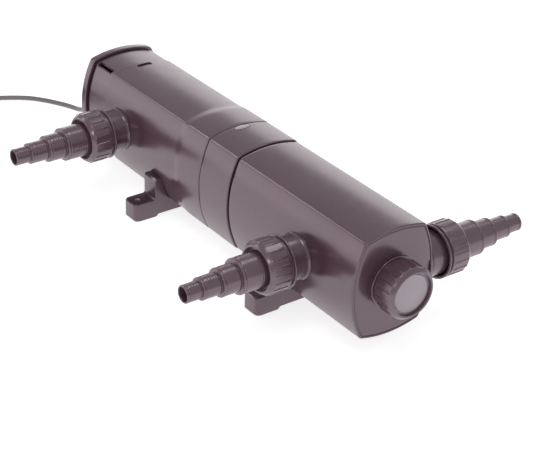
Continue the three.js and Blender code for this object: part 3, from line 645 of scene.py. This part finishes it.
def add_ballast_housing():
    x0, x1, inset = HEAD_BACK, SHOULDER - 0.3, 1.2
    stations = [(x, i) for x, i in rounded(x0, 1, inset, 0.7)][::-1]
    stations += [(x, inset) for x in (-262, -256, -250, -240, -230, -226)] + rounded(x1, -1, inset, 0.5, 3)
    rings = [sec(x, i) for x, i in stations]
    rings += [sec(x1, 3.3), sec(x1 + 11, 3.3), sec(x1 + 11.3, 3.6), sec(x1 + 11.3, 6.3), sec(x1, 6.3)]
    rings += [circ(x1, 28.6), circ(x1 + 11.3, 28.6), circ(x1 + 11.3, 22.3), circ(BULKHEAD, 22.3)]
    rings += [circ(BULKHEAD, 30), sec(BULKHEAD, 9), sec(BULKHEAD, 4.2), sec(x0, 4.2)]
    body = join_skins("ballast_housing_look", [(rings, True)], "housing")
    subtract(body, [block((-262.5, -50, 131), (-231, -34, 141), bevel=0.8, name="notch")])
    show(body, "rear_body", "housing", "ballast_housing")
    for k, sign in enumerate((1, -1)):
        z = AXIS_Z + sign * 60.8
        tab = block((-219.6, -8.9, z - 2), (-214.3, 8.9, z + 1), "housing", 0.8, f"latch_tab_{k}")
        show(tab, "rear_body", "housing")


def screw_head(name, y, z):
    """Pan head with a cross recess, set in the cover's counterbore."""
    profile = [(0.01, 0.55), (2.2, 0.6), (3.4, 0.9), (3.95, 1.5), (4, 2.3), (2, 2.3), (2, 26), (0.01, 27.5)]
    head = turned(name, profile, along_x(COVER_BACK, y, AXIS_Z + z), "steel", 40, False)
    cross = []
    for a, b in ((2.4, 0.45), (0.45, 2.4)):
        low = (COVER_BACK - 0.6, y - a, AXIS_Z + z - b)
        high = (COVER_BACK + 1.6, y + a, AXIS_Z + z + b)
        cross.append(block(low, high, bevel=0.1, name="cross", segments=1))
    subtract(head, cross)
    return head


def add_rear_cover():
    x0, x1, out = COVER_BACK, COVER_FRONT, -2.0
    rings = [sec(x0, 8), sec(x0 + 0.1, 6), sec(x0 + 0.35, 3.6)]
    rings += [sec(x0 + 0.8, 1.6), sec(x0 + 1.5, 0.2), sec(x0 + 2.5, -1.1), sec(x0 + 3.6, -1.8)]
    rings += [sec(x0 + 4.8, out)]
    rings += [sec(x, out) for x in (-273, -270)] + [sec(x, i) for x, i in rounded(x1, -1, out, 0.8)]
    rings += [sec(x1, 2.2), sec(x1 - 0.2, 2.4), sec(x0 + 3, 2.4), sec(x0 + 3, 8)]
    body = join_skins("rear_cover_look", [(rings, False)], "housing")
    tools = []
    well = [(4.6, -2), (4.6, 2.5), (2.4, 2.5), (2.4, 9)]
    for y, z in COVER_SCREWS:
        tools.append(turned("well", well, along_x(x0, y, AXIS_Z + z), "recess", 40, False))
    tools.append(turned("gland_hole", [(8.4, -2), (8.4, 9)], along_x(x0, 0, GLAND_Z), "recess", 48, False))
    subtract(body, tools)
    show(body, "rear_body", "housing", "rear_cover")
    for k, (y, z) in enumerate(COVER_SCREWS):
        name = f"cover_screw_{k + 1}"
        show(screw_head(f"{name}_look", y, z), "rear_body", "steel", name)
    a, b = COVER_FRONT + 0.3, HEAD_BACK - 0.3
    seal = [sec(a, 2.4), sec(a + 0.3, 2.2), sec(b - 0.3, 2.2), sec(b, 2.4), sec(b, 4), sec(a, 4)]
    show(join_skins("cover_gasket_look", [(seal, True)], "seal"), "rear_body", "seal", "cover_gasket")


add_rear_housing()
add_front_housing()
add_coupling_ring()
add_lens()
add_ballast_housing()
add_rear_cover()


# ------------------------------------------------------------------ feet
def add_foot(node, x, body):
    """A saddle of U shape with a pad on either side, each with a screw hole and its bright lining."""
    half, reach, top, inner, gap, lip = 12.3, 88.0, PAD_TOP, 58.0, -0.3, 49.5
    low = [(y, AXIS_Z + z) for y, z in outline(gap, 10, 8, 8) if AXIS_Z + z < lip]
    side_r = (HALF_H**2 + SIDE_BULGE**2) / (2 * SIDE_BULGE)
    edge = HALF_W + SIDE_BULGE - side_r + math.sqrt((side_r - gap) ** 2 - (lip - AXIS_Z) ** 2)
    # From the left upright round the belly to the right one.
    belly = low + [(-edge, lip), (edge, lip)]
    left = sorted([p for p in belly if p[0] < -38], key=lambda p: -p[1])
    bottom = sorted([p for p in belly if -38 <= p[0] <= 38], key=lambda p: p[0])
    right = sorted([p for p in belly if p[0] > 38], key=lambda p: p[1])
    wall = 59.5
    outer_left = [
        (-wall + 2, lip), (-wall, lip - 2), (-wall, top + 1.4), (-wall - 1.4, top), (-reach + 1, top),
        (-reach, top - 1), (-reach, 2), (-reach + 2, 0), (-inner, 0), (-inner + 3, 3),
    ]
    outer_right = [(-y, z) for y, z in reversed(outer_left)]
    section = outer_left + outer_right + right[::-1] + bottom[::-1] + left[::-1]
    rings = [[(xx, y, z) for y, z in section] for xx in (x - half, x + half)]
    foot = join_skins(f"{node}_look", [(rings, False)], "housing", 25)
    round_corners(foot, reach, 4.5)
    round_edges(foot, 0.8, 3, 50)
    hole = [(3, -2), (3, 20.5), (3.9, 22.3), (3.9, 25)]
    tools = [
        turned("hole", hole, upright(x, sign * SCREW_HOLE_Y, 0), "recess", 32, False) for sign in (-1, 1)
    ]
    subtract(foot, tools)
    show(foot, body, "housing", node)
    lining = [(2.98, 1), (2.98, 20.4), (3.85, 22.3), (3.7, 22.6), (3.3, 22.5), (2.5, 20.6), (2.5, 1)]
    for sign, side in ((-1, "left"), (1, "right")):
        at = upright(x, sign * SCREW_HOLE_Y, 0)
        show(turned(f"{node}_eyelet_{side}", lining, at, "steel", 40), body, "steel")


add_foot("rear_foot", -111.5, "rear_body")
add_foot("front_foot", 136.4, "front_body")


# ------------------------------------------------------------------ fittings
# A nut's ribs: [place in the pitch, height] across one rib and the barrel after it.
RIBS, RIB_HEIGHT = 20, 0.8
RIB = [
    (-0.2, 0), (-0.17, 0.03), (-0.145, 0.4), (-0.115, 0.88), (-0.07, 1), (0, 1.03), (0.07, 1), (0.115, 0.88),
    (0.145, 0.4), (0.17, 0.03), (0.2, 0), (0.35, 0), (0.5, 0), (0.65, 0),
]
# A nut's profile: [distance along, radius, how much of the ribs].
NUT = [
    (0, 28.4, 0), (0, 30.1, 0), (0.2, 30.45, 0), (0.6, 30.6, 0), (1.7, 30.6, 0), (2.1, 30.4, 0), (2.3, 30, 0),
    (2.4, 28.4, 0), (2.7, 27.8, 0), (5.3, 27.8, 0), (5.6, 28.4, 0), (5.8, 29.3, 0), (6.1, 29.7, 0),
    (6.6, 29.9, 0),
    (8, 29.9, 0), (8.5, 29.9, 0.6), (9.1, 29.9, 1), (18, 29.9, 1), (25.8, 29.9, 1), (26.9, 29.9, 0.88),
    (27.5, 29.85, 0.55), (27.9, 29.7, 0), (28.4, 29.4, 0), (29.5, 28.6, 0), (31.2, 27.3, 0), (31.7, 26.8, 0),
    (32, 26.2, 0), (32, 25.1, 0), (31.8, 24.6, 0), (31.3, 24.4, 0), (27.5, 24.4, 0), (27.5, 26.9, 0),
    (1.5, 26.9, 0),
]
NUT_PHASE = {"rear_left": 5.7, "front_left": 5.7, "front_right": 5.7, "end": 5.0}


def add_union_nut(port):
    o, u, v, d = frame_of(port)
    pitch = 2 * math.pi / RIBS
    rings = []
    for along, radius, strength in NUT:
        ring = []
        for rib in range(RIBS):
            for offset, height in RIB:
                t = math.radians(NUT_PHASE[port]) + (rib + offset) * pitch
                r = radius + RIB_HEIGHT * height * strength
                ring.append(tuple(o + d * along + u * (r * math.cos(t)) + v * (r * math.sin(t))))
        rings.append(ring)
    nut = join_skins(f"{port}_nut_look", [(rings, True)], "fitting", 38)
    show(nut, f"{port}_nut", "fitting", f"{port}_union_nut")


# A hose tail's steps: outer radius, bore, start and end.
STEPS = ((20, 16.8, 27.2, 59.7), (16, 13.2, 59.7, 82), (12.5, 10, 82, 104.8), (10, 8, 104.8, 123.5))


def add_hose_tail(port):
    outer = [(26.3, 22.9), (26.3, 26.8), (25.9, 27.2), (20.9, 27.2), (20.2, 27.6), (19.9, 28.4)]
    for k, (r, bore, start, end) in enumerate(STEPS):
        if k:
            # hollow at the foot of the step, below the shoulder of the one behind it
            outer += [(r + 0.5, start), (r - 0.15, start + 0.25), (r - 0.35, start + 0.9)]
            outer += [(r - 0.1, start + 1.7)]
        a, stop = (33.5 if k == 0 else start + 2.6), end - 4.4
        while a + 3 < stop:
            outer += [(r, a), (r + 0.02, a + 2), (r - 0.05, a + 2.3), (r - 0.09, a + 2.6)]
            outer += [(r - 0.05, a + 2.9)]
            a += 3.2
        outer += [(r - 0.05, stop + 0.1), (r - 0.45, stop + 0.5), (r - 0.5, stop + 1.1)]
        outer += [(r - 0.1, stop + 1.5), (r + 0.12, stop + 1.9), (r + 0.15, end - 1.3)]
        outer += [(r - 0.1, end - 0.7), (r - 0.6, end - 0.2), (r - 1.2, end)]
    inner = [(8.6, 123.5), (8.1, 123), (8, 122), (8, 101.8), (10, 101.8), (10, 79), (13.2, 79), (13.2, 56.7),
             (16.8, 56.7), (16.8, 22.9)]
    tail = turned(f"{port}_tail_look", outer + inner, frame_of(port), "fitting", 120, angle=42)
    show(tail, f"{port}_tail", "fitting", f"{port}_hose_tail")


def add_port_gasket(port, body):
    ring = [(18, 20.3), (25.1, 20.3), (25.4, 20.6), (25.4, 22.3), (25.1, 22.6), (18, 22.6)]
    seal = turned(f"{port}_gasket_look", ring, frame_of(port), "seal", 72)
    show(seal, body, "seal", f"{port}_gasket")


for port_name in PORT_X:
    add_union_nut(port_name)
    add_hose_tail(port_name)
    add_port_gasket(port_name, "rear_body" if port_name == "rear_left" else "front_body")
add_union_nut("end")
add_port_gasket("end", "front_body")
disc = [
    (0.01, 22.9), (26, 22.9), (26.3, 23.2), (26.3, 26.9), (26, 27.2), (21.9, 27.2), (21.9, 28), (21.6, 28.35),
    (21, 28.4), (20.4, 28.3), (20, 28.0), (19.4, 27.9), (12, 28.05), (0.01, 28.15),
]
show(
    turned("end_disc_look", disc, frame_of("end"), "blank", 96, False, 40),
    "end_disc", "blank", "end_blanking_disc",
)


# ------------------------------------------------------------------ gland, strain relief and what is inside
def hexagon(place, across, start, end):
    o, u, v, d = place
    rings = []
    for along in (start, end):
        ring = []
        for i in range(6):
            t = math.radians(60 * i)
            ring.append(tuple(o + d * along + u * (across * math.cos(t)) + v * (across * math.sin(t))))
        rings.append(ring)
    return rings


cover_at = along_x(COVER_BACK, 0, GLAND_Z)
flange = join_skins("gland_body_look", [
    (hexagon(cover_at, 11, -4.5, -0.3), False),
    (lathe_rings([(3.6, -9), (7.6, -9), (8, -8.6), (8, 9), (3.6, 9)], cover_at, 48), True),
], "fitting", 30)
round_edges(flange, 0.4, 2, 55)
show(flange, "rear_body", "fitting", "gland_body")
cap = []
# Distance along, radius and depth of the grip's hollows.
for along, radius, lobe in (
    (-4.8, 10.6, 0), (-5.2, 11, 0), (-6, 11, 0.5), (-11.6, 11, 0.5), (-13, 10.6, 0.3), (-16.5, 9.4, 0),
    (-18.6, 7.6, 0), (-19.6, 6, 0), (-19.6, 3.6, 0), (-10, 3.6, 0), (-10, 8.4, 0), (-4.8, 8.4, 0),
):
    ring_points = []
    for i in range(96):
        t = 2 * math.pi * i / 96
        r = radius - lobe * (0.5 + 0.5 * math.cos(12 * t))
        o, u, v, d = cover_at
        ring_points.append(tuple(o + d * along + u * (r * math.cos(t)) + v * (r * math.sin(t))))
    cap.append(ring_points)
show(join_skins("gland_nut_look", [(cap, True)], "fitting", 40), "rear_body", "fitting", "gland_nut")
lock = join_skins("gland_locknut_look", [(hexagon(cover_at, 11.5, 3.3, 7.6), False)], "fitting")
round_edges(lock, 0.4, 2, 30)
show(lock, "rear_body", "fitting", "gland_locknut")

relief = [(3.15, -300.3), (5.7, -300.3), (6, -300.7), (6, -303.6), (5.6, -304)]
for k in range(6):
    r, a = 5.5 - 0.32 * k, -305 - 4.2 * k
    relief += [(r - 0.9, a), (r - 0.95, a - 0.9), (r - 0.05, a - 1.3), (r, a - 1.8), (r - 0.1, a - 3.3)]
relief += [(3.7, -330.6), (3.45, -332), (3.15, -332)]
show(
    turned("strain_relief_look", relief, GLAND, "cord_rubber", 48, angle=40),
    "rear_body", "cord_rubber", "strain_relief",
)


def arc(r, x, turned_from, turned_to, step, shift=0.0):
    """[radius, distance along] pairs on a circle about (shift, x)."""
    angles = [math.radians(a) for a in range(turned_from, turned_to, step)]
    return [(shift + r * math.cos(a), x + r * math.sin(a)) for a in angles]


def o_ring(name, radius, thick, x, body, node):
    show(turned(name, arc(thick, x, 0, 360, 30, radius), AXIS, "seal", 96, angle=60), body, "seal", node)


def add_inside():
    o_ring("main_o_ring_look", 46.2, 1.15, 14, "rear_body", "main_o_ring")
    o_ring("sleeve_o_ring_look", 24.6, 1.4, -209, "rear_body", "sleeve_o_ring")
    # The radii keep off the axis by a hair, so that the dome's tip stays a closed ring.
    sleeve = [(22, -229)] + arc(22, 203, 0, 91, 9, 0.001) + arc(20, 203, 90, -1, -9, 0.001) + [(20, -229)]
    tube = turned("quartz_sleeve_look", sleeve, AXIS, "quartz", 96, angle=50)
    show(tube, "rear_body", "quartz", "quartz_sleeve")
    tubes = []
    for sign in (-1, 1):
        at = along_x(0, 0, AXIS_Z + sign * 9.5)
        end = [(8 * math.cos(math.radians(a)), 198 + 6 * math.sin(math.radians(a))) for a in range(0, 90, 15)]
        tubes.append((lathe_rings([(0.01, -206), (8, -206)] + end + [(0.01, 204)], at, 40), False))
    # The short bridge that joins the two tubes near their far ends.
    tubes.append((lathe_rings([(2.4, 0), (2.4, 8)], upright(193, 0, AXIS_Z - 4), 24), False))
    show(join_skins("uv_lamp_look", tubes, "lamp_glass", 40), "rear_body", "lamp_glass", "uv_lamp")
    nut = [
        (29.2, -222.7), (33.1, -222.7), (33.5, -222.3), (33.5, -204.4), (33.1, -204), (23.2, -204),
        (23.2, -207), (29.2, -207),
    ]
    show(turned("sleeve_nut_look", nut, AXIS, "fitting"), "rear_body", "fitting", "sleeve_nut")
    for node, slot in (
        ("lamp_base", "white_plastic"), ("lamp_socket", "white_plastic"), ("sleeve_guide", "white_plastic"),
        ("terminal_block", "white_plastic"), ("ballast_unit", "electronics"), ("mains_tail", "cord"),
        ("lamp_lead_1", "lead"), ("lamp_lead_2", "lead"), ("ballast_lead_1", "lead"),
        ("ballast_lead_2", "lead"),
    ):
        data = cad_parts[node].data
        data.materials.clear()
        data.materials.append(MAT[slot])


add_inside()


# ------------------------------------------------------------------ stage
def add_area(name, place, target, size, radiance, color=(1, 1, 1)):
    data = bpy.data.lights.new(name, "AREA")
    data.shape = "RECTANGLE"
    data.size, data.size_y = size
    data.energy = radiance * math.pi * size[0] * size[1]
    data.color = color
    light = bpy.data.objects.new(name, data)
    light.location = place
    light.rotation_euler = (Vector(target) - Vector(place)).to_track_quat("-Z", "Y").to_euler()
    light.visible_camera = False
    bpy.context.scene.collection.objects.link(light)


def add_stage():
    mesh = bpy.data.meshes.new("floor")
    mesh.from_pydata([(-9, -9, 0), (9, -9, 0), (9, 9, 0), (-9, 9, 0)], [], [(0, 1, 2, 3)])
    floor = bpy.data.objects.new("floor", mesh)
    bpy.context.scene.collection.objects.link(floor)
    mat, tree, shader = principled("white_floor")
    shader.inputs["Base Color"].default_value = (0.55, 0.55, 0.55, 1)
    shader.inputs["Roughness"].default_value = 0.9
    shader.inputs["Specular IOR Level"].default_value = 0.1
    shader.inputs["Emission Color"].default_value = (1, 1, 1, 1)
    shader.inputs["Emission Strength"].default_value = 0.76
    mesh.materials.append(mat)
    world = bpy.data.worlds.new("studio")
    world.use_nodes = True
    background = world.node_tree.nodes["Background"]
    background.inputs["Color"].default_value = (1, 1, 1, 1)
    background.inputs["Strength"].default_value = 0.55
    bpy.context.scene.world = world
    add_area("backdrop_light", (-2.0, 1.7, 0.65), (0, 0, 0.4), (4.5, 1.3), 1.2)
    add_area("top_light", (0.3, -0.5, 2.2), (0, 0, 0.1), (0.9, 0.9), 3.0)
    add_area("key_light", (1.2, -2.0, 1.5), (0, 0, 0.1), (0.45, 0.45), 7.0)
    add_area("ridge_light", (-1.8, -1.3, 1.45), (0, 0, 0.1), (0.9, 0.7), 2.2)
    add_area("side_wall_light", (-2.3, -2.4, 0.45), (0, 0, 0.3), (3.6, 0.9), 1.0)
    add_area("glint_light", (-0.25, 1.05, 1.95), (0, 0, 0.1), (0.6, 0.6), 2.6)
    view = bpy.context.scene.view_settings
    view.view_transform = "Standard"
    view.look = "None"


add_stage()
